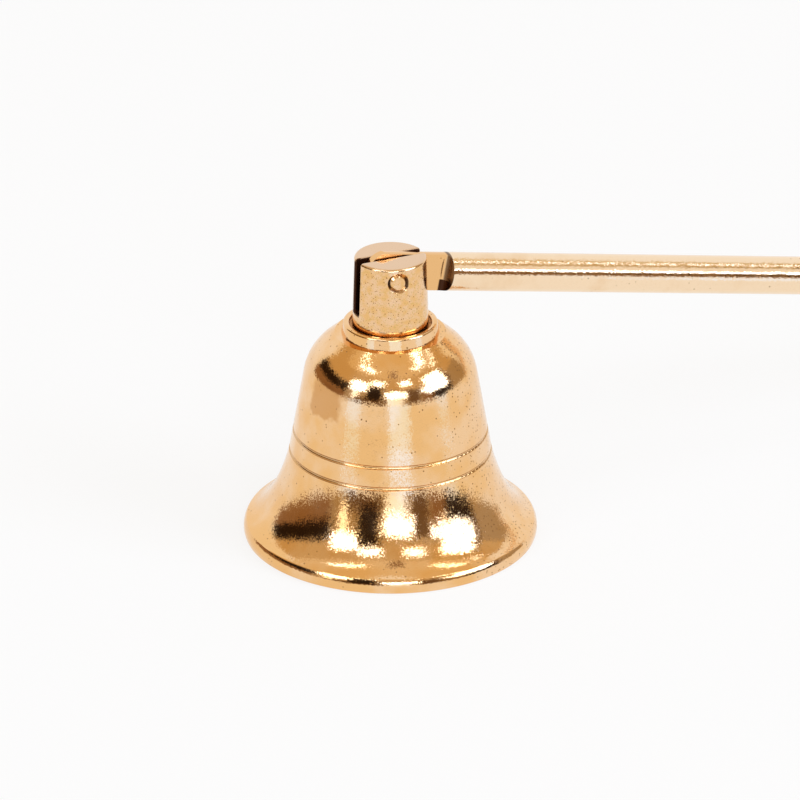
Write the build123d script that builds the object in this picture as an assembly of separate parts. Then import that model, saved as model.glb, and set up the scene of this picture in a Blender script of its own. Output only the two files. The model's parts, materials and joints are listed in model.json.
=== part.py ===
from build123d import *
import math
import os

# Candle snuffer: a turned bell on a slotted stem, pinned to a long round handle.
# Sizes are in millimetres and angles in degrees. The origin is the centre of the bell's
# mouth at table height, and +Z runs up the bell's axis. The handle points to +X and slopes
# down until its far end rests on the table. The pivot pin lies along Y.

# Bell, from the rim up
rim_radius = 17.5
rim_foot_inset = 0.15
rim_bulge_height = 0.6
lip_inset = 0.35
lip_height = 1.8
lip_round = 0.2
lip_angle = 68.0
flare_lip_pull = 3.5
flare_waist_pull = 1.4
waist_radius = 11.99
waist_height = 11.03
waist_angle = 10.0
shoulder_round = 6.6
crown_angle = 50.5
crown_radius = 6.57
crown_height = 25.97
bell_wall = 1.0
rim_edge_break = 0.12

# Two turned grooves: the lower one marks where the flare ends and the waist begins
groove_spacing = 2.53
groove_section_radius = 0.26
groove_depth = 0.17

# Collar, a counterbored ring between the crown and the stem
collar_base_radius = 5.8
collar_top_radius = 5.55
collar_height = 1.4
collar_web = 0.45
collar_edge_round = 0.3
stem_socket_gap = 0.3

# Stem, a tapered post with a deep slot that makes two ears
stem_foot_radius = 4.52
stem_top_radius = 4.24
stem_length = 9.26
stem_edge_round = 0.36
slot_width = 1.4
slot_floor_round = 0.35
slot_edge_round = 0.2

# Pivot pin, riveted flush in the ears, at its depth below the stem's top
pin_radius = 1.0
pin_drop = 1.78
pin_setback = 0.75
pin_end_break = 0.24
pin_seat_clearance = 0.01
pin_running_clearance = 0.06
pin_hole_chamfer = 0.27

# Handle, a round rod with a flat tang milled at one end
rod_radius = 2.3
handle_length = 170.0
rod_end_round = 0.8
tang_thickness = 1.05
tang_eye_radius = 2.34
tang_floor_gap = 2.66
shoulder_distance = 7.98
shoulder_root_round = 0.72

# Pan-head screw from inside the bell, and its washer
screw_radius = 1.5
screw_tip_gap = 0.45
screw_tip_chamfer = 0.3
screw_clearance = 0.15
thread_clearance = 0.02
head_radius = 2.8
head_height = 1.8
head_round = 1.0
recess_width = 0.55
recess_length = 3.2
recess_depth = 1.0
washer_radius = 3.5
washer_thickness = 0.5

# One overrun serves every cut
overrun = 1.0

# Sizes that follow from the driving ones
lip_radius = rim_radius - lip_inset
ceiling_height = crown_height - bell_wall
head_bottom = ceiling_height - washer_thickness - head_height
stem_foot_height = crown_height + collar_web
stem_top_height = stem_foot_height + stem_length
socket_radius = stem_foot_radius + stem_socket_gap
pin_height = stem_top_height - pin_drop
slot_floor_height = pin_height - tang_eye_radius - tang_floor_gap

# The handle's rest slope: the rounded far end just touches the table
end_reach = handle_length - rod_end_round
end_drop = rod_radius - rod_end_round
end_arm = math.hypot(end_reach, end_drop)
rest_slope = math.asin((pin_height - rod_end_round) / end_arm) - math.atan2(end_drop, end_reach)
rest_slope = math.degrees(rest_slope)


def step_in(point, angle, depth):
    """Shift an outline point inwards, square to a wall that leans inwards by angle."""
    lean = math.radians(angle)
    return (point[0] - depth * math.cos(lean), point[1] - depth * math.sin(lean))


def step_up(point, angle, length):
    """Move a point up along a wall that leans inwards by angle."""
    lean = math.radians(angle)
    return (point[0] - length * math.sin(lean), point[1] + length * math.cos(lean))


def level(point, angle, height):
    """Slide a point along a leaning wall to this height."""
    return (point[0] - (height - point[1]) * math.tan(math.radians(angle)), height)


def meet(low, low_angle, high, high_angle):
    """The corner where two leaning walls meet, each given by a point and its angle."""
    low_slope = math.tan(math.radians(low_angle))
    high_slope = math.tan(math.radians(high_angle))
    reach = low[0] - high[0] + low_slope * low[1] - high_slope * high[1]
    return level(low, low_angle, reach / (low_slope - high_slope))


def wall_line(inset):
    """Flare, waist, shoulder and crown edge of the bell, as edges set in by inset."""
    lip = (lip_radius, lip_height)
    waist = (waist_radius, waist_height)
    crown = (crown_radius, crown_height)
    lip_pull = step_up(lip, lip_angle, flare_lip_pull)
    waist_pull = step_up(waist, waist_angle, -flare_waist_pull)
    lip = step_in(lip, lip_angle, inset)
    lip_pull = step_in(lip_pull, lip_angle, inset)
    waist_pull = step_in(waist_pull, waist_angle, inset)
    waist = step_in(waist, waist_angle, inset)
    crown = level(step_in(crown, crown_angle, inset), crown_angle, crown_height - inset)
    shoulder = meet(waist, waist_angle, crown, crown_angle)
    flare = Bezier(lip, lip_pull, waist_pull, waist)
    upper = FilletPolyline(waist, shoulder, crown, radius=shoulder_round - inset)
    return flare, upper, lip, crown


def turned(section):
    """A solid turned about the bell's axis from a flat section of radius and height."""
    return revolve(Plane.XZ * section, Axis.Z)


def groove(height):
    """Section of a round-bottomed groove in the wall of the waist at this height."""
    wall = waist_radius - (height - waist_height) * math.tan(math.radians(waist_angle))
    return Pos(wall + groove_section_radius - groove_depth, height) * Circle(groove_section_radius)


def bell_outer():
    """The bell's outside with its two grooves as one turned solid, with no hollow."""
    flare, upper, lip, crown = wall_line(0)
    foot = (rim_radius - rim_foot_inset, 0)
    band = ThreePointArc(foot, (rim_radius, rim_bulge_height), lip)
    close = Polyline(crown, (0, crown_height), (0, 0), foot)
    section = make_face([band, flare, upper, close])
    for height in (waist_height, waist_height + groove_spacing):
        section -= groove(height)
    return turned(section)


def bell_hollow():
    """The space inside the bell, which runs a little past the rim."""
    flare, upper, lip, crown = wall_line(bell_wall)
    close = Polyline(crown, (0, crown[1]), (0, -overrun), (lip[0], -overrun), lip)
    return turned(make_face([flare, upper, close]))


def upright(radius, low, high):
    """A plain cylinder on the bell's axis between two heights."""
    base = Pos(0, 0, low)
    return base * Cylinder(radius, high - low, align=(Align.CENTER, Align.CENTER, Align.MIN))


def bell():
    """Bell with its rim band, flare, grooved waist, rounded shoulder and screw hole."""
    shell = bell_outer() - bell_hollow()
    shell -= upright(screw_radius + screw_clearance, lip_height, crown_height + overrun)
    circles = shell.edges().filter_by(GeomType.CIRCLE)
    shell = chamfer(circles.group_by(Axis.Z)[0], rim_edge_break)
    circles = shell.edges().filter_by(GeomType.CIRCLE)
    at_lip = [e for e in circles if abs(e.center().Z - lip_height) < rim_edge_break]
    return fillet([e for e in at_lip if e.radius > lip_radius - lip_round], lip_round)


def collar():
    """Ring on the crown, with a counterbore for the stem's foot and a thin web under it."""
    low = crown_height
    high = crown_height + collar_height
    bore = screw_radius + screw_clearance
    outline = Polyline(
        (bore, low),
        (collar_base_radius, low),
        (collar_top_radius, high),
        (socket_radius, high),
        (socket_radius, low + collar_web),
        (bore, low + collar_web),
        close=True,
    )
    ring = turned(make_face(outline))
    circles = ring.edges().filter_by(GeomType.CIRCLE)
    return fillet(circles.group_by(Axis.Z)[-1], collar_edge_round)


def stem_blank():
    """The tapered post before its slot, with the top edge rounded."""
    outline = Polyline(
        (0, stem_foot_height),
        (stem_foot_radius, stem_foot_height),
        (stem_top_radius, stem_top_height),
        (0, stem_top_height),
        close=True,
    )
    post = turned(make_face(outline))
    rim = [e for e in post.edges().filter_by(GeomType.CIRCLE) if e.center().Z > slot_floor_height]
    return fillet(rim, stem_edge_round)


def slot_cut():
    """The gap between the ears, open at both sides and at the top."""
    high = stem_top_height + overrun
    height = high - slot_floor_height
    reach = 2 * (stem_foot_radius + overrun)
    block = Box(reach, slot_width, height, align=(Align.CENTER, Align.CENTER, Align.MIN))
    floor = block.edges().filter_by(Axis.X).group_by(Axis.Z)[0]
    return Pos(0, 0, slot_floor_height) * fillet(floor, slot_floor_round)


def cross_bore(radius, length):
    """A round bar along Y through the pivot."""
    return Pos(-pin_setback, 0, pin_height) * Rot(90, 0, 0) * Cylinder(radius, length)


def stem():
    """Slotted post: foot in the collar, tapped hole up the middle, pin hole across."""
    post = stem_blank() - slot_cut()
    mouth = [e for e in post.edges() if abs(abs(e.center().Y) - slot_width / 2) < slot_edge_round]
    mouth = [e for e in mouth if e.center().Z > slot_floor_height + slot_floor_round]
    post = fillet(mouth, slot_edge_round)
    low = stem_foot_height - overrun
    high = slot_floor_height + overrun
    post -= upright(screw_radius + thread_clearance, low, high)
    post -= cross_bore(pin_radius + pin_seat_clearance, 2 * (stem_foot_radius + overrun))
    holes = [e for e in post.edges() if abs(e.center().Y) > stem_foot_radius / 2]
    holes = [e for e in holes if abs(e.center().Z - pin_height) < pin_hole_chamfer]
    return chamfer([e for e in holes if e.length > pin_radius], pin_hole_chamfer)


def pivot_pin():
    """Pin through both ears and the tang, its ends dressed flush with the stem."""
    bar = cross_bore(pin_radius, 2 * (stem_foot_radius + overrun))
    pin = bar & stem_blank()
    ends = [e for e in pin.edges() if abs(e.center().Y) > slot_width]
    return chamfer(ends, pin_end_break)


def tang_relief():
    """What the mill takes off one side of the rod, with a round root at the shoulder."""
    face = tang_thickness / 2
    start = -tang_eye_radius - overrun
    outer = rod_radius + overrun
    corners = [(start, face), (shoulder_distance, face), (shoulder_distance, outer), (start, outer)]
    sketch = make_face(Polyline(*corners, close=True))
    root = sketch.vertices().sort_by_distance((shoulder_distance, face))[0]
    return extrude(fillet(root, shoulder_root_round), rod_radius + overrun, both=True)


def eye_relief():
    """What rounds the tang's free end about the pivot."""
    reach = tang_eye_radius + overrun
    block = Box(reach, 2 * rod_radius, 2 * reach, align=(Align.MAX, Align.CENTER, Align.CENTER))
    return block - Rot(90, 0, 0) * Cylinder(tang_eye_radius, 2 * rod_radius)


def handle():
    """Round rod with a flat tang, bored for the pin, laid at its rest slope."""
    length = handle_length + tang_eye_radius
    rod = Cylinder(rod_radius, length, align=(Align.CENTER, Align.CENTER, Align.MIN))
    rod = Pos(-tang_eye_radius, 0, 0) * Rot(0, 90, 0) * rod
    far_end = rod.edges().filter_by(GeomType.CIRCLE).sort_by(Axis.X)[-1]
    rod = fillet(far_end, rod_end_round)
    relief = tang_relief()
    rod -= relief
    rod -= mirror(relief, Plane.XZ)
    rod -= eye_relief()
    rod -= Rot(90, 0, 0) * Cylinder(pin_radius + pin_running_clearance, 2 * rod_radius)
    return Pos(-pin_setback, 0, pin_height) * Rot(0, rest_slope, 0) * rod


def washer():
    """Flat washer under the crown."""
    high = ceiling_height
    low = ceiling_height - washer_thickness
    return upright(washer_radius, low, high) - upright(screw_radius + screw_clearance, low, high)


def recess():
    """Cross recess in the screw's head: two tapered slots at right angles."""
    mouth = Rectangle(recess_length, recess_width)
    floor = Pos(0, 0, recess_depth) * Rectangle(recess_width, recess_width / 2)
    arm = loft([mouth, floor])
    return Pos(0, 0, head_bottom) * (arm + Rot(0, 0, 90) * arm)


def screw():
    """Pan-head screw, up through the washer, crown and collar into the stem."""
    under_head = ceiling_height - washer_thickness
    tip = slot_floor_height - screw_tip_gap
    outline = Polyline(
        (0, head_bottom),
        (head_radius, head_bottom),
        (head_radius, under_head),
        (screw_radius, under_head),
        (screw_radius, tip - screw_tip_chamfer),
        (screw_radius - screw_tip_chamfer, tip),
        (0, tip),
        close=True,
    )
    body = turned(make_face(outline))
    head_edge = body.edges().filter_by(GeomType.CIRCLE).sort_by(Axis.Z)[0]
    return fillet(head_edge, head_round) - recess()


nodes = {
    "bell": bell(),
    "collar": collar(),
    "stem": stem(),
    "pivot_pin": pivot_pin(),
    "handle_rod": handle(),
    "washer": washer(),
    "screw": screw(),
}

os.makedirs("parts", exist_ok=True)
for name, solid in nodes.items():
    export_step(solid, "parts/" + name + ".step")
print("handle rest slope", round(rest_slope, 3), "degrees")
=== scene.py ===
# %% [markdown]
# # A candle snuffer in polished rose-gold metal
#
# The object is a small turned bell that is put over a flame. A slotted stem stands on its crown,
# and a long round handle is pinned in the slot. The shapes are finished already: they come from
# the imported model, and this script gives them their finish, a studio and a camera.

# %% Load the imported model
import json
import math

import bpy
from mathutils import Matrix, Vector


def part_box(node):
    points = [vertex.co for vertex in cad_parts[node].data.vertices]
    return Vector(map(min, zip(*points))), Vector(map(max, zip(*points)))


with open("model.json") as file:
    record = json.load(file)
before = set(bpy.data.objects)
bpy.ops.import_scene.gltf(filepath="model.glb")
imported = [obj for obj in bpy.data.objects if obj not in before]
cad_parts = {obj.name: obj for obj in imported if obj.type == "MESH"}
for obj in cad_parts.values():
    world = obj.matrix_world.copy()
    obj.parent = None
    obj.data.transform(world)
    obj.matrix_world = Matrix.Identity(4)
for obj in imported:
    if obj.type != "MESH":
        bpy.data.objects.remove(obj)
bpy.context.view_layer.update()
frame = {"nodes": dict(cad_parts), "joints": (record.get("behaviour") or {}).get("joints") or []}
nodes = frame["nodes"]
print("pieces:", sorted(nodes))

# %% [markdown]
# ## Sizes that the finishes and the studio need
#
# All lengths are in metres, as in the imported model. Finishes are easier to think about in
# millimetres, because a pit or a scratch is a fraction of one. So each finish works in
# millimetres, and only a bump's height goes back to metres.

# %% Sizes and heights
MM = 0.001
PER_METRE = 1000.0


def in_mm(low, high):
    """The three sides of a box, in millimetres."""
    return [round(side * PER_METRE, 2) for side in high - low]


bell_low, bell_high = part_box("bell")
stem_low, stem_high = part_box("stem")
print("bell mm", in_mm(bell_low, bell_high), "stem mm", in_mm(stem_low, stem_high))

# %% [markdown]
# ## Shading of the turned surfaces
#
# Polished metal shows every facet of a mesh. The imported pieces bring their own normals, so
# their shading is smooth already, with crisp edges. They need no subdivision, which would cost
# far more and change the silhouette.

# %% Look at the shading that the pieces bring
for name, piece in sorted(nodes.items()):
    print(name, len(piece.data.polygons), "faces, own normals:", piece.data.has_custom_normals)


# %% [markdown]
# ## Writing a finish as sums
#
# A finish is a web of small nodes. Python can write it as plain arithmetic if each number
# socket knows how to add, subtract and multiply: every sign then becomes one Math node. The
# same class stands for colours and vectors, which only travel along links.

# %% A socket that can be calculated with
class Socket:
    """An output of a node, which adds Math nodes when it meets a sign."""

    def __init__(self, finish, output):
        self.finish = finish
        self.output = output

    def __add__(self, other):
        return self.finish.number("ADD", self, other)

    def __sub__(self, other):
        return self.finish.number("SUBTRACT", self, other)

    def __rsub__(self, other):
        return self.finish.number("SUBTRACT", other, self)

    def __mul__(self, other):
        return self.finish.number("MULTIPLY", self, other)

    __radd__ = __add__
    __rmul__ = __mul__


# %% [markdown]
# ## One method for every other node
#
# The remaining nodes differ only in their type, their settings and their sockets. Settings come
# first, because some of them, such as a noise's dimensions, decide which sockets there are.

# %% A finish and its nodes
HALF_VECTOR = (0.5, 0.5, 0.5)


class Finish:
    """A material, or the world, under construction."""

    def __init__(self, block):
        self.block = block
        block.use_nodes = True
        self.tree = block.node_tree
        self.tree.nodes.clear()

    def node(self, kind, settings, inputs, output=0):
        """Any node: its type, its settings, then the values or links of its sockets."""
        made = self.tree.nodes.new(kind)
        for key, value in settings.items():
            setattr(made, key, value)
        for key, value in inputs.items():
            if isinstance(value, Socket):
                self.tree.links.new(value.output, made.inputs[key])
            else:
                made.inputs[key].default_value = value
        return Socket(self, made.outputs[output])

    def number(self, operation, *values):
        """A Math node."""
        return self.node("ShaderNodeMath", {"operation": operation}, dict(enumerate(values)))

    def vector(self, operation, inputs):
        """A Vector Math node."""
        return self.node("ShaderNodeVectorMath", {"operation": operation}, inputs)

    def ease(self, value, low, high):
        """0 below low, 1 above high, and a soft step between them."""
        settings = {"interpolation_type": "SMOOTHSTEP"}
        return self.node("ShaderNodeMapRange", settings, {0: value, 1: low, 2: high})

    def tint(self, share, first, second):
        """Colour first where share is 0 and colour second where it is 1."""
        settings = {"data_type": "RGBA"}
        inputs = {"Factor": share, 6: first, 7: second}
        return self.node("ShaderNodeMix", settings, inputs, 2)

    def place(self):
        """Where a point lies on its piece, in millimetres."""
        spot = self.node("ShaderNodeTexCoord", {}, {}, "Object")
        return self.vector("SCALE", {0: spot, "Scale": PER_METRE})

    def axes(self, spot):
        """The three coordinates of a place as numbers."""
        return [self.node("ShaderNodeSeparateXYZ", {}, {0: spot}, axis) for axis in "XYZ"]

    def size(self, value):
        """A number without its sign."""
        return self.number("ABSOLUTE", value)

    def root(self, value):
        """The square root of a number."""
        return self.number("SQRT", value)

    def most(self, first, second):
        """The larger of two numbers."""
        return self.number("MAXIMUM", first, second)

    def noise(self, spot, scale, detail):
        """Soft random values about a half, with scale features to the millimetre."""
        inputs = {"Vector": spot, "Scale": scale, "Detail": detail}
        return self.node("ShaderNodeTexNoise", {}, inputs)

    def lean(self, normal, spot, cells, amount):
        """The normal, leaning its own way in every small cell."""
        own = self.node("ShaderNodeTexVoronoi", {}, {"Vector": spot, "Scale": cells}, "Color")
        own = self.vector("SUBTRACT", {0: own, 1: HALF_VECTOR})
        own = self.vector("SCALE", {0: own, "Scale": amount})
        return self.vector("NORMALIZE", {0: self.vector("ADD", {0: normal, 1: own})})

    def metal(self, colour, roughness, normal):
        """Closes the finish as bare or plated metal."""
        inputs = {"Base Color": colour, "Roughness": roughness, "Normal": normal, "Metallic": 1.0}
        shader = self.node("ShaderNodeBsdfPrincipled", {}, inputs)
        return self.close(shader)

    def close(self, shader, kind="ShaderNodeOutputMaterial"):
        """Makes this shader the surface and hands back the finished block."""
        out = self.tree.nodes.new(kind)
        self.tree.links.new(shader.output, out.inputs["Surface"])
        return self.block


def new_finish(name):
    """An empty material that is ready for its nodes."""
    return Finish(bpy.data.materials.new(name))


print("finish tools ready")

# %% [markdown]
# ## Pits in the plating
#
# Cheap plating over a casting has fine pits, dark brown or olive, a tenth to a fifth of a
# millimetre across. A cell pattern gives each cell one centre: a pit is drawn round the centres
# of a chosen share of the cells. A noise alone would give clouds, not separate specks.

# %% Pits
PIT_CORE = 0.4


def pits(finish, spot, cells, size, share):
    """1 inside a pit and 0 elsewhere, with cells to the millimetre and pits in a share of them."""
    inputs = {"Vector": spot, "Scale": cells}
    distance = finish.node("ShaderNodeTexVoronoi", {}, inputs, "Distance")
    chance = finish.node("ShaderNodeTexVoronoi", {}, inputs, "Color")
    chance = finish.node("ShaderNodeSeparateColor", {}, {0: chance}, "Red")
    chosen = finish.number("LESS_THAN", chance, share)
    return chosen * (1 - finish.ease(distance, size * PIT_CORE, size))


print("pits ready, fully dark within", PIT_CORE, "of their radius")

# %% [markdown]
# ## Painted shade in the narrow places
#
# Shade is painted into the colour where the surface lies hidden: in the slot, on the far ear's
# outer edge, round the stem's foot, in the ring round the pin, in the grooves and in the corner
# where the handle's tang begins. The colour is painted dark brown to black there. A mask worked
# out from the place on the piece follows those corners exactly, and stays on them when the handle
# turns. Every mask takes the same three coordinates in millimetres, so that any finish can use
# any mask. A soft edge is written as a pair: where it begins and where it ends.

# %% Masks on the stem, its collar and the pin
PIN_X, PIN_Z = [PER_METRE * frame["joints"][0]["pos_m"][axis] for axis in (0, 2)]
COLLAR_TOP = PER_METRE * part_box("collar")[1].z
STEM_TOP = PER_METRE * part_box("stem")[1].z
SLOT_WALL = (0.70, 0.82)
SLOT_FLOOR = (28.65, 28.9)
FAR_EDGE_FROM = (0.2, 0.4)
FAR_EDGE_TO = (1.10, 1.25)
FAR_EDGE_LEFT = (-3.6, -3.2)
BEVEL_BEHIND = (0.75, 0.85)
BEVEL_ABOVE = (STEM_TOP - 0.45, STEM_TOP - 0.25)
RING_FROM = (0.86, 0.94)
RING_TO = (1.19, 1.27)
RING_SIDE = (0.70, 1.0)
RING_LOW = (-1.0, -0.75)
FOOT = (COLLAR_TOP - 0.30, COLLAR_TOP + 0.05)
SOCKET_WALL = (4.78, 4.92)
SIDE_SHARE = 0.90
LOW_SHARE = 0.45
FOOT_SHARE = 0.25
SOCKET_SHARE = 0.3


def nowhere(finish, x, y, z):
    """An empty mask, still as a socket, so that sums can go on from it."""
    return 0.0 * z


def pin_painted_shade(finish, x, y, z):
    """Painted shade in the V-shaped ring round the pin's end, thickest at its two sides."""
    across = x - PIN_X
    up = z - PIN_Z
    away = finish.root(across * across + up * up)
    ring = finish.ease(away, *RING_FROM) * (1 - finish.ease(away, *RING_TO))
    sides = finish.ease(finish.size(across), *RING_SIDE)
    low = 1 - finish.ease(up, *RING_LOW)
    return ring * (SIDE_SHARE * sides + LOW_SHARE * low)


def stem_painted_shade(finish, x, y, z):
    """Painted shade in the slot and on the far ear's outer edge, fainter at the foot."""
    in_slot = 1 - finish.ease(finish.size(y), *SLOT_WALL)
    far_edge = finish.ease(y, *FAR_EDGE_FROM) * (1 - finish.ease(y, *FAR_EDGE_TO))
    far_edge = far_edge * (1 - finish.ease(x, *FAR_EDGE_LEFT))
    bevel = finish.ease(z, *BEVEL_ABOVE) * finish.ease(y, *BEVEL_BEHIND)
    dark = finish.most(in_slot, far_edge) * finish.ease(z, *SLOT_FLOOR) * (1 - bevel)
    at_foot = FOOT_SHARE * (1 - finish.ease(z, *FOOT))
    return finish.most(finish.most(dark, at_foot), pin_painted_shade(finish, x, y, z))


def collar_painted_shade(finish, x, y, z):
    """Faint painted shade on the inside of the collar, round the stem's foot."""
    away = finish.root(x * x + y * y)
    return SOCKET_SHARE * (1 - finish.ease(away, *SOCKET_WALL))


print("pin at mm", round(PIN_X, 2), round(PIN_Z, 2), "collar's top", round(COLLAR_TOP, 2))

# %% [markdown]
# ## Painted shade in the two grooves
#
# The grooves are turned with a round-nosed tool, 2.5 mm apart. A groove is a ring round the
# bell's axis, so a point's distance from that ring tells whether it lies in the groove. Shade is
# painted into the grooves as it falls on the real piece: darkest on the left side, fainter on the
# right, and the front nearly clean.

# %% Masks in the bell's grooves
WAIST_RADIUS = 11.99
WAIST_LEAN = math.tan(math.radians(10))
LOWER_GROOVE = 11.03
GROOVE_SPACING = 2.53
GROOVE_CENTRE = 0.09
GROOVE_WALL = (0.23, 0.28)
GROOVE_LEFT = (-9.6, -8.4)
GROOVE_RIGHT = (0.5, 4.0)
SHARE_EVERYWHERE = 0.10
SHARE_LEFT = 0.60
SHARE_RIGHT = 0.35


def groove_painted_shade(finish, x, y, z):
    """Painted shade in both grooves, darkest on the side away from the handle, faintest in front.
    """
    away = finish.root(x * x + y * y)
    found = nowhere(finish, x, y, z)
    for above in (0.0, GROOVE_SPACING):
        across = away - (WAIST_RADIUS - above * WAIST_LEAN + GROOVE_CENTRE)
        up = z - (LOWER_GROOVE + above)
        near = finish.root(across * across + up * up)
        found = finish.most(found, 1 - finish.ease(near, *GROOVE_WALL))
    left = 1 - finish.ease(x, *GROOVE_LEFT)
    right = finish.ease(x, *GROOVE_RIGHT)
    return found * (SHARE_EVERYWHERE + SHARE_LEFT * left + SHARE_RIGHT * right)


print("grooves at mm", LOWER_GROOVE, round(LOWER_GROOVE + GROOVE_SPACING, 2))

# %% [markdown]
# ## Painted shade where the tang begins
#
# The tang is milled flat from the round rod, and the cutter leaves a shoulder with a small
# rounded root. The handle slopes at rest, so the mask first turns the place into a distance
# along the rod and a height above its middle. Then it can be written as for a level rod.

# %% Masks on the handle
ROD_SLOPE = math.radians(10.773)
SHOULDER = 7.98
ROD_FROM = (SHOULDER, SHOULDER + 0.08)
ROOT_FROM = (SHOULDER - 0.55, SHOULDER - 0.30)
CORNER_FROM = (SHOULDER - 1.00, SHOULDER - 0.80)
CORNER_TOP = (-0.90, -0.75)
FLATS_TO = (SHOULDER - 0.40, SHOULDER)
ROOT_SHARE = 0.80


def along_rod(x, z):
    """Distance from the pin along the handle, in millimetres."""
    return math.cos(ROD_SLOPE) * (x - PIN_X) - math.sin(ROD_SLOPE) * (z - PIN_Z)


def above_rod(x, z):
    """Height above the middle of the handle, in millimetres."""
    return math.sin(ROD_SLOPE) * (x - PIN_X) + math.cos(ROD_SLOPE) * (z - PIN_Z)


def tang_painted_shade(finish, x, y, z):
    """Painted shade on the shoulder and its rounded root, and in the root's lower corner."""
    along = along_rod(x, z)
    before_rod = 1 - finish.ease(along, *ROD_FROM)
    root = ROOT_SHARE * finish.ease(along, *ROOT_FROM)
    low = 1 - finish.ease(above_rod(x, z), *CORNER_TOP)
    return before_rod * finish.most(root, finish.ease(along, *CORNER_FROM) * low)


print("shoulder mm", SHOULDER, "slope", round(math.degrees(ROD_SLOPE), 2))

# %% [markdown]
# ## Where the pits and the special faces are
#
# Pits are densest on the stem's side, on the crown and on the side of the bell below the
# handle. The stem's flat top was dressed after casting, so it has none, and the tang's flats
# were milled. The waist has a painted reflection: a darker, warmer patch with square edges, left
# of the middle.

# %% Share of pitted cells, and special faces, by place
PITTED_RIGHT = (0.5, 7.0)
PITTED_CROWN = (22.0, 25.5)
PITS_EVERYWHERE = 0.06
PITS_RIGHT = 0.54
PITS_CROWN = 0.15
PITS_STEM = 0.70
PITS_ROD = 0.03
# Edges of the painted reflection patch on the waist, in millimetres.
REFLECTION_PATCH_LOW = (17.6, 18.3)
REFLECTION_PATCH_HIGH = (21.4, 22.6)
REFLECTION_PATCH_BACK = (0.4, 1.2)
REFLECTION_PATCH_FRONT = (5.0, 6.0)
REFLECTION_PATCH_LEFT = (-8.6, -8.0)
REFLECTION_PATCH_SHARE = 0.85
REFLECTION_PATCH_WANDER = (2.0, 1.5)
DRESSED_FROM = (STEM_TOP - 0.20, STEM_TOP - 0.05)


def bell_share(finish, x, y, z):
    """Share of pitted cells on the bell."""
    right = finish.ease(x, *PITTED_RIGHT)
    crown = finish.ease(z, *PITTED_CROWN)
    return PITS_EVERYWHERE + PITS_RIGHT * right + PITS_CROWN * crown


def waist_painted_reflection(finish, x, y, z):
    """The painted reflection on the waist, a darker and warmer patch. A noise makes its edges
    wander a little.
    """
    wander = finish.noise(finish.place(), 0.7, 3.0) - 0.5
    up = z + REFLECTION_PATCH_WANDER[0] * wander
    front = REFLECTION_PATCH_WANDER[1] * wander - y
    stain_and_reflection = finish.ease(up, *REFLECTION_PATCH_LOW) * (1 - finish.ease(up, *REFLECTION_PATCH_HIGH))
    stain_and_reflection = stain_and_reflection * finish.ease(front, *REFLECTION_PATCH_BACK) * (1 - finish.ease(front, *REFLECTION_PATCH_FRONT))
    return REFLECTION_PATCH_SHARE * stain_and_reflection * (1 - finish.ease(x, *REFLECTION_PATCH_LEFT))


def dressed_top(finish, x, y, z):
    """The stem's flat top."""
    return finish.ease(z, *DRESSED_FROM)


def stem_share(finish, x, y, z):
    """Share of pitted cells on the stem."""
    return PITS_STEM * (1 - dressed_top(finish, x, y, z))


def rod_share(finish, x, y, z):
    """Share of pitted cells on the handle and the pin."""
    return PITS_ROD + nowhere(finish, x, y, z)


def tang_flats(finish, x, y, z):
    """The milled end of the handle, where the plating is warmer."""
    return 1 - finish.ease(along_rod(x, z), *FLATS_TO)


print("share of pitted cells:", PITS_ROD, "to", PITS_STEM)

# %% [markdown]
# ## The rose-gold finish
#
# The bell, the fittings and the handle share one plating with different wear. Its colour is
# what it reflects of a white surrounding. The plating is made of fine specks that each lean a
# little their own way. So the border of a mirrored lamp breaks up into bright and dark dots, as
# on the real piece, while the middle of the lamp stays clean. A bump would blur the border or
# crinkle it instead. Soft smears of polish vary the gloss. A special face, such as a milled
# one, has its own tone and no leaning specks.

# %% Rose-gold plating
PALE_GOLD = (0.89, 0.59, 0.33, 1.0)
WARM_GOLD = (0.86, 0.50, 0.20, 1.0)
# Darker, warmer gold for the painted reflection on the waist's left.
WAIST_REFLECTION_GOLD = (0.66, 0.34, 0.12, 1.0)
STEM_PALE = (0.87, 0.57, 0.33, 1.0)
STEM_WARM = (0.84, 0.50, 0.20, 1.0)
STEM_OLIVE = (0.60, 0.42, 0.12, 1.0)
STEM_DRESSED = (0.78, 0.54, 0.35, 1.0)
ROD_PALE = (0.92, 0.71, 0.49, 1.0)
ROD_WARM = (0.88, 0.64, 0.41, 1.0)
TANG_WARM = (0.83, 0.49, 0.21, 1.0)
PIT_BROWN = (0.36, 0.17, 0.05, 1.0)
# Near-black brown for painted shade in the slot, the grooves, the pin's ring and other narrow
# places.
PAINTED_SHADE_BROWN = (0.06, 0.022, 0.010, 1.0)
GOLD_TONES = (PALE_GOLD, WARM_GOLD, WARM_GOLD)
STEM_TONES = (STEM_PALE, STEM_WARM, STEM_OLIVE)
ROD_TONES = (ROD_PALE, ROD_WARM, ROD_WARM)
SPECK_CELLS = 10.0
# Painted shade across each piece: paler towards +x, warmer and darker towards -x.
PALER_PER_MM = 0.005
SMEAR_GLOSS = 0.04
PIT_GLOSS = 0.2
PAINTED_SHADE_GLOSS = 0.3
PIT_DEPTH = 0.2
BUMP_HEIGHT = 0.02 * MM
FEW_PITS = {"cells": 2.4, "size": 0.30}
MANY_PITS = {"cells": 2.8, "size": 0.27}
FAINT_STAINS = 0.25
CLEAR_STAINS = 0.60
SMEARS = (0.6, 4.0)
SMEAR_EDGE = (0.4, 0.7)
STAINS = (5.5, 1.0)
STAIN_EDGE = (0.56, 0.68)
CLOUD_DETAIL = 3.0
CLOUD_EDGE = (0.35, 0.65)


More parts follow.
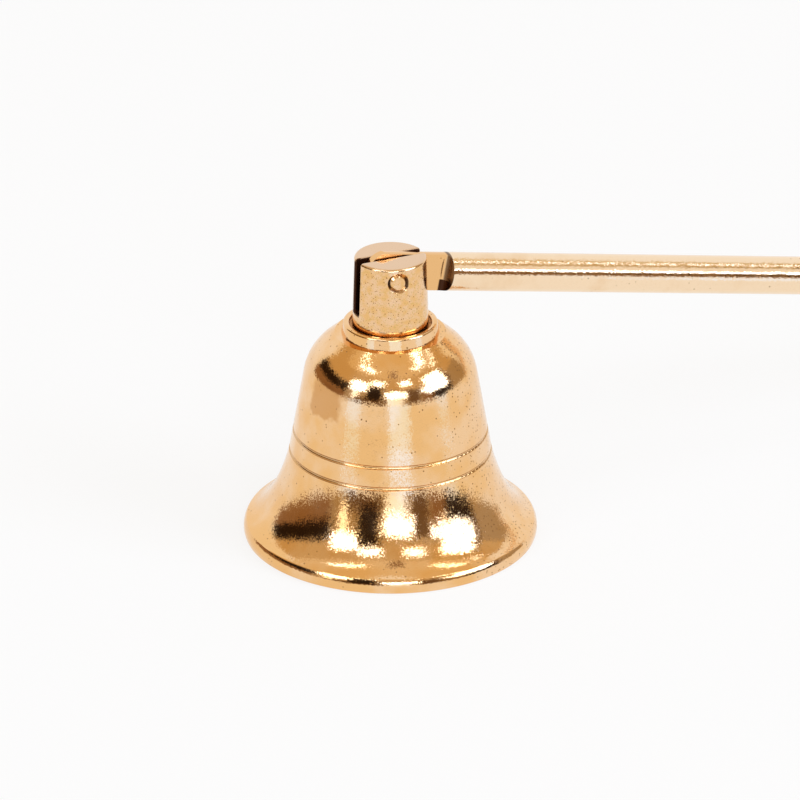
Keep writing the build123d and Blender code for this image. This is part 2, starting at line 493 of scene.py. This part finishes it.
def rose_gold(
        name, tones, clouds, gloss, lean, pitting, stained, share, painted_shade, own_place, own_tone):
    """Plating in two clouded tones, stains in a third, painted shade, and masks for all that
    varies.
    """
    finish = new_finish(name)
    spot = finish.place()
    x, y, z = finish.axes(spot)
    smears = finish.noise(spot, *SMEARS)
    stains = finish.ease(finish.noise(spot, *STAINS), *STAIN_EDGE)
    marks = pits(finish, spot, pitting["cells"], pitting["size"], share(finish, x, y, z))
    # Painted shade: where this mask is 1 the colour turns near-black brown and the surface
    # rougher.
    painted_dark = painted_shade(finish, x, y, z)
    own = own_place(finish, x, y, z)
    # Painted shade: the clouds lean paler towards +x and warmer and darker towards -x.
    clouded_and_shaded = finish.noise(spot, clouds, CLOUD_DETAIL) - PALER_PER_MM * x
    pale, warm, stain_and_reflection = tones
    colour = finish.tint(finish.ease(clouded_and_shaded, *CLOUD_EDGE), pale, warm)
    colour = finish.tint(stained * stains, colour, stain_and_reflection)
    colour = finish.tint(own, colour, own_tone)
    colour = finish.tint(marks, colour, PIT_BROWN)
    colour = finish.tint(painted_dark, colour, PAINTED_SHADE_BROWN)
    smeared = finish.ease(smears, *SMEAR_EDGE)
    roughness = gloss + SMEAR_GLOSS * smeared + PIT_GLOSS * marks + PAINTED_SHADE_GLOSS * painted_dark
    inputs = {"Height": smears - PIT_DEPTH * marks, "Strength": 1.0, "Distance": BUMP_HEIGHT}
    normal = finish.node("ShaderNodeBump", {}, inputs)
    normal = finish.lean(normal, spot, SPECK_CELLS, lean * (1 - own))
    return finish.metal(colour, roughness, normal)


# On the bell the special face is the painted reflection on the waist.
bell_finish = rose_gold(
    "rose_gold_bell", GOLD_TONES, clouds=0.22, gloss=0.09, lean=0.07,
    pitting=FEW_PITS, stained=FAINT_STAINS, share=bell_share, painted_shade=groove_painted_shade,
    own_place=waist_painted_reflection, own_tone=WAIST_REFLECTION_GOLD)
collar_finish = rose_gold(
    "rose_gold_collar", GOLD_TONES, clouds=0.22, gloss=0.08, lean=0.03,
    pitting=FEW_PITS, stained=FAINT_STAINS, share=bell_share, painted_shade=collar_painted_shade,
    own_place=nowhere, own_tone=PALE_GOLD)
stem_finish = rose_gold(
    "rose_gold_stem", STEM_TONES, clouds=1.1, gloss=0.13, lean=0.06,
    pitting=MANY_PITS, stained=CLEAR_STAINS, share=stem_share, painted_shade=stem_painted_shade,
    own_place=dressed_top, own_tone=STEM_DRESSED)
pin_finish = rose_gold(
    "rose_gold_pin", STEM_TONES, clouds=1.1, gloss=0.10, lean=0.04,
    pitting=MANY_PITS, stained=CLEAR_STAINS, share=rod_share, painted_shade=pin_painted_shade,
    own_place=nowhere, own_tone=STEM_PALE)
rod_finish = rose_gold(
    "rose_gold_rod", ROD_TONES, clouds=0.22, gloss=0.06, lean=0.10,
    pitting=FEW_PITS, stained=FAINT_STAINS, share=rod_share, painted_shade=tang_painted_shade,
    own_place=tang_flats, own_tone=TANG_WARM)
print("finishes:", len(bpy.data.materials))

# %% [markdown]
# ## The screw and its washer
#
# They are hidden inside the bell and are plain bright-plated steel. A fine noise gives the
# slight grain of barrel plating: it varies the tone, the gloss and a very low bump together.

# %% Bright steel
STEEL_DARK = (0.62, 0.61, 0.59, 1.0)
STEEL_PALE = (0.74, 0.73, 0.70, 1.0)
STEEL_BUMP = 0.001 * MM
STEEL_GRAIN = (9.0, 3.0)
STEEL_GLOSS = 0.2
STEEL_GLOSS_RANGE = 0.12


def bright_steel(name):
    """Plated steel with a fine even grain."""
    finish = new_finish(name)
    grain = finish.noise(finish.place(), *STEEL_GRAIN)
    colour = finish.tint(grain, STEEL_DARK, STEEL_PALE)
    inputs = {"Height": grain, "Strength": 1.0, "Distance": STEEL_BUMP}
    normal = finish.node("ShaderNodeBump", {}, inputs)
    return finish.metal(colour, STEEL_GLOSS + STEEL_GLOSS_RANGE * grain, normal)


steel_finish = bright_steel("bright_steel")
print("steel:", steel_finish.name)

# %% [markdown]
# ## Putting the finishes on
#
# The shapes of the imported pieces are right, so they stay and only their material changes.

# %% Assign the finishes
finishes = {
    "bell": bell_finish,
    "collar": collar_finish,
    "stem": stem_finish,
    "pivot_pin": pin_finish,
    "handle_rod": rod_finish,
    "washer": steel_finish,
    "screw": steel_finish,
}
for name, finish in finishes.items():
    for slot in nodes[name].material_slots:
        slot.material = finish
    print(name, "->", finish.name)

# %% [markdown]
# ## The camera
#
# The photograph was taken with a long lens from slightly above. The camera looks at a point on
# the bell's axis, and a small shift of the lens puts the bell left of the middle, as framed.

# %% Camera
IMAGE_WIDTH = 800
AIM = Vector((0.0, 0.0, 0.015))
AIM_PIXEL = (390.4, 415.1)
DISTANCE = 0.8
PIXELS_PER_MM = 8.442
VIEW_TURN = math.radians(-23.5)
VIEW_RISE = math.radians(25.3)


def direction(turn, rise):
    """Unit vector from the object towards a place, where turn 0 is the side facing -Y."""
    level = math.cos(rise)
    return Vector((math.sin(turn) * level, -math.cos(turn) * level, math.sin(rise)))


lens = bpy.data.cameras.new("camera")
camera = bpy.data.objects.new("camera", lens)
bpy.context.scene.collection.objects.link(camera)
bpy.context.scene.camera = camera
back = direction(VIEW_TURN, VIEW_RISE)
camera.location = AIM + back * DISTANCE
camera.rotation_euler = (-back).to_track_quat("-Z", "Y").to_euler()
lens.lens = lens.sensor_width * PIXELS_PER_MM * DISTANCE * PER_METRE / IMAGE_WIDTH
lens.shift_x = (IMAGE_WIDTH / 2 - AIM_PIXEL[0]) / IMAGE_WIDTH
lens.shift_y = (AIM_PIXEL[1] - IMAGE_WIDTH / 2) / IMAGE_WIDTH
lens.clip_start = 0.01
lens.clip_end = 50
print("lens mm", round(lens.lens, 1), "shift", round(lens.shift_x, 4), round(lens.shift_y, 4))

# %% [markdown]
# ## The studio
#
# Polished metal has hardly any look of its own: it shows the room. The photograph's room can be
# read from the bell, because its crown and its flare mirror the same soft boxes: each bright
# spot gives a direction to a lamp. The room here is a white surrounding with a pale floor, a
# glowing tent in front, dark panels at the level of the camera, and soft boxes before them.
#
# The world lights the object at a plain level, but is white where it is looked at or mirrored.
# The floor is matt paper. Lit at that level it would be a light grey, so its material adds
# some white of its own where it is looked at or mirrored, and keeps the object's shadow.

# %% Surroundings and floor
WHITE = (1.0, 1.0, 1.0, 1.0)
FLOOR_GREY = (0.86, 0.86, 0.86, 1.0)
ROOM_LIGHT = 0.70
FLOOR_OWN_WHITE = 0.80
FLOOR_HALF = 6.0


def looked_at(finish):
    """1 for a ray from the camera, or one that a mirror or glass sends on, and otherwise 0."""
    rays = ("Is Camera Ray", "Is Glossy Ray", "Is Transmission Ray")
    seen, mirrored, through = [finish.node("ShaderNodeLightPath", {}, {}, ray) for ray in rays]
    return seen + mirrored + through


room = Finish(bpy.data.worlds.new("room"))
strength = ROOM_LIGHT + (1 - ROOM_LIGHT) * looked_at(room)
white = room.node("ShaderNodeBackground", {}, {"Color": WHITE, "Strength": strength})
bpy.context.scene.world = room.close(white, "ShaderNodeOutputWorld")


def stage_mesh(name, points, faces, material):
    """A piece of the studio, which doesn't belong to the object."""
    mesh = bpy.data.meshes.new(name)
    mesh.from_pydata(points, [], faces)
    piece = bpy.data.objects.new(name, mesh)
    piece.data.materials.append(material)
    bpy.context.scene.collection.objects.link(piece)
    return piece


floor_finish = new_finish("floor_white")
floor_inputs = {"Base Color": FLOOR_GREY, "Roughness": 0.9, "Specular IOR Level": 0.0}
floor_lit = floor_finish.node("ShaderNodeBsdfPrincipled", {}, floor_inputs)
floor_white = floor_finish.node("ShaderNodeEmission", {}, {"Color": WHITE, "Strength": 1.0})
floor_mix = {0: FLOOR_OWN_WHITE * looked_at(floor_finish), 1: floor_lit, 2: floor_white}
floor_surface = floor_finish.close(floor_finish.node("ShaderNodeMixShader", {}, floor_mix))
corners = [(x * FLOOR_HALF, y * FLOOR_HALF, 0) for x, y in ((-1, -1), (1, -1), (1, 1), (-1, 1))]
floor = stage_mesh("floor", corners, [(0, 1, 2, 3)], floor_surface)
print("floor metres across", 2 * FLOOR_HALF)

# %% [markdown]
# ## Panels
#
# A panel glows evenly instead of being lit, so that its tone in the metal is the one written.
# The tent is warm and the lamps are slightly blue: in gold metal the lamps then look white and
# the tent looks orange, as in the photograph, while the floor stays neutral. Dark cloths
# between the lamps give the dark places, and two bright legs below the boxes lengthen their
# spots. Panels are hidden from the camera only, so that other views aren't blocked.

# %% Glowing and dark panels
PANEL_STEPS = 24


def panel(name, turn, rise, wide, high, tone, distance):
    """A curved panel as seen from the bell, with all four angles in degrees and a tone."""
    finish = new_finish(name)
    glow = finish.node("ShaderNodeEmission", {}, {"Color": (*tone, 1.0), "Strength": 1.0})
    points = []
    for i in range(PANEL_STEPS + 1):
        around = VIEW_TURN + math.radians(turn + wide * (i / PANEL_STEPS - 0.5))
        for up in (rise - high / 2, rise + high / 2):
            points.append(AIM + direction(around, math.radians(up)) * distance)
    faces = [(2 * i, 2 * i + 2, 2 * i + 3, 2 * i + 1) for i in range(PANEL_STEPS)]
    piece = stage_mesh(name, points, faces, finish.close(glow))
    piece.visible_camera = False


TENT = 3.2
SCREEN = 2.6
WARM_TENT = (0.84, 0.69, 0.46)
AMBER_TENT = (0.66, 0.49, 0.27)
DIM_TENT = (0.45, 0.35, 0.23)
BLACK_CLOTH = (0.025, 0.014, 0.008)
BROWN_CLOTH = (0.16, 0.095, 0.05)
RUST_CLOTH = (0.28, 0.16, 0.08)
TAN_CLOTH = (0.30, 0.18, 0.10)
PALE_CLOTH = (0.96, 0.90, 0.82)
LEFT_LEG = (2.0, 2.1, 2.3)
MIDDLE_LEG = (1.3, 1.5, 1.9)
PANELS = [
    # name, turn, rise, width and height in degrees, tone, distance
    ("tent_front", 0, 40, 244, 24, AMBER_TENT, TENT),
    ("tent_top", 0, 70, 300, 38, WARM_TENT, TENT),
    ("tent_low", 0, 14, 244, 30, DIM_TENT, TENT),
    ("dark_left", -92, 19, 62, 15, BLACK_CLOTH, SCREEN),
    ("dark_left_low", -94, 6, 62, 11, TAN_CLOTH, SCREEN),
    ("dark_centre", -22, 20, 20, 28, BLACK_CLOTH, SCREEN),
    ("dark_centre_low", -28, 2, 40, 13, BROWN_CLOTH, SCREEN),
    ("dark_beside", 31, 12, 16, 26, BROWN_CLOTH, SCREEN),
    ("dark_right", 73, 7, 30, 14, BLACK_CLOTH, SCREEN),
    ("brown_right", 50, 8, 16, 18, RUST_CLOTH, SCREEN),
    ("pale_right", 71, 33, 34, 18, PALE_CLOTH, SCREEN),
    ("dark_edge", 88, 25, 6, 34, BROWN_CLOTH, SCREEN),
    ("dark_above", 7, 60, 14, 14, TAN_CLOTH, SCREEN),
    ("leg_left", -48, 14, 8, 18, LEFT_LEG, SCREEN),
    ("leg_middle", 6, 5, 20, 16, MIDDLE_LEG, SCREEN),
]
for row in PANELS:
    panel(*row)
print("panels:", len(PANELS))

# %% [markdown]
# ## Pale strips on the floor
#
# The waist leans back a little, so it mirrors the floor. Three pale upright bands on it show that
# the floor was brighter below the big boxes. Three glowing strips lie there as painted pools of
# that light. Only mirrors see them, so they neither show in the picture nor shade the floor.

# %% Strips on the floor
STRIP_NEAR = 0.115
STRIP_FAR = 2.4
STRIP_LIFT = 0.001
STRIP_STEPS = 8


def floor_strip(name, turn, wide, tone):
    """A glowing wedge, a painted pool of lamp light on the floor, wide degrees across from the
    bell.
    """
    finish = new_finish(name)
    glow = finish.node("ShaderNodeEmission", {}, {"Color": (*tone, 1.0), "Strength": 1.0})
    points = []
    for i in range(STRIP_STEPS + 1):
        around = VIEW_TURN + math.radians(turn + wide * (i / STRIP_STEPS - 0.5))
        for away in (STRIP_NEAR, STRIP_FAR):
            points.append(direction(around, 0.0) * away + Vector((0.0, 0.0, STRIP_LIFT)))
    faces = [(2 * i, 2 * i + 1, 2 * i + 3, 2 * i + 2) for i in range(STRIP_STEPS)]
    piece = stage_mesh(name, points, faces, finish.close(glow))
    piece.visible_camera = False
    piece.visible_diffuse = False
    piece.visible_shadow = False


STRIPS = [
    # name, turn and width in degrees, tone
    ("strip_left", -46, 17, (1.02, 1.26, 1.75)),
    ("strip_middle", 11, 25, (1.07, 1.40, 2.15)),
    ("strip_right", 68, 14, (1.00, 1.18, 1.55)),
]
for row in STRIPS:
    floor_strip(*row)
print("strips:", len(STRIPS))

# %% [markdown]
# ## Soft boxes
#
# A soft box is a rectangular lamp that faces the bell. Its size is written as the angle that it
# fills, seen from the bell, because this is what the metal mirrors. Its power follows from its
# brightness, so a box can be made larger without making its reflection brighter.

# %% Soft boxes
LAMP_DISTANCE = 2.2
DAYLIGHT = (0.82, 1.0, 1.30)


def soft_box(name, turn, rise, wide, high, brightness):
    """A rectangular lamp that looks wide by high degrees from the bell, at this brightness."""
    lamp = bpy.data.lights.new(name, "AREA")
    lamp.shape = "RECTANGLE"
    lamp.size = 2 * LAMP_DISTANCE * math.tan(math.radians(wide / 2))
    lamp.size_y = 2 * LAMP_DISTANCE * math.tan(math.radians(high / 2))
    lamp.energy = brightness * math.pi * lamp.size * lamp.size_y
    lamp.color = DAYLIGHT
    holder = bpy.data.objects.new(name, lamp)
    bpy.context.scene.collection.objects.link(holder)
    towards = direction(VIEW_TURN + math.radians(turn), math.radians(rise))
    holder.location = AIM + towards * LAMP_DISTANCE
    holder.rotation_euler = (-towards).to_track_quat("-Z", "Y").to_euler()
    holder.visible_camera = False
    return holder


print("lamp colour", DAYLIGHT)

# %% [markdown]
# ## A flag for the handle
#
# Two of the boxes would fill the round handle with one broad white stripe, where the real one
# shows a thin bright line over a thin dark one. A photographer hangs a flag, a small black
# cloth, that keeps such a lamp off one part. Light linking does the same: a flagged lamp shines
# only on the pieces of the bell's head and on the floor.

# %% Lamps
lit_by_flagged = bpy.data.collections.new("lit_by_flagged_lamps")
for name in ("bell", "collar", "stem", "pivot_pin", "washer", "screw"):
    lit_by_flagged.objects.link(nodes[name])
lit_by_flagged.objects.link(floor)


OPEN, FLAGGED = False, True
LAMPS = [
    # name, turn, rise, width and height in degrees, brightness, with a flag for the handle
    ("box_left", -46, 29, 21, 15, 4.6, OPEN),
    ("box_left_upper", -21, 40, 16, 9, 3.8, OPEN),
    ("box_middle", 8, 18.5, 27, 12, 4.6, OPEN),
    ("box_middle_upper", 24, 40, 14, 9, 3.8, OPEN),
    ("box_right_low", 67, 16, 31, 6, 5.0, FLAGGED),
    ("box_right_strip", 63, 22, 41, 4.5, 5.0, OPEN),
    ("box_right_high", 69, 33, 27, 18, 5.0, FLAGGED),
    ("box_high_left", -57, 62.5, 22, 5, 3.4, OPEN),
    ("box_high_right", 80, 62, 22, 5, 3.4, OPEN),
    ("box_far_right", 100, 50, 14, 2, 2.6, OPEN),
]
for *row, flag in LAMPS:
    lamp = soft_box(*row)
    if flag:
        lamp.light_linking.receiver_collection = lit_by_flagged
print("lamps:", len(LAMPS))

# %% [markdown]
# ## The view transform
#
# The picture is shown with the Standard view transform.

# %% Set the view transform
bpy.context.scene.view_settings.view_transform = "Standard"
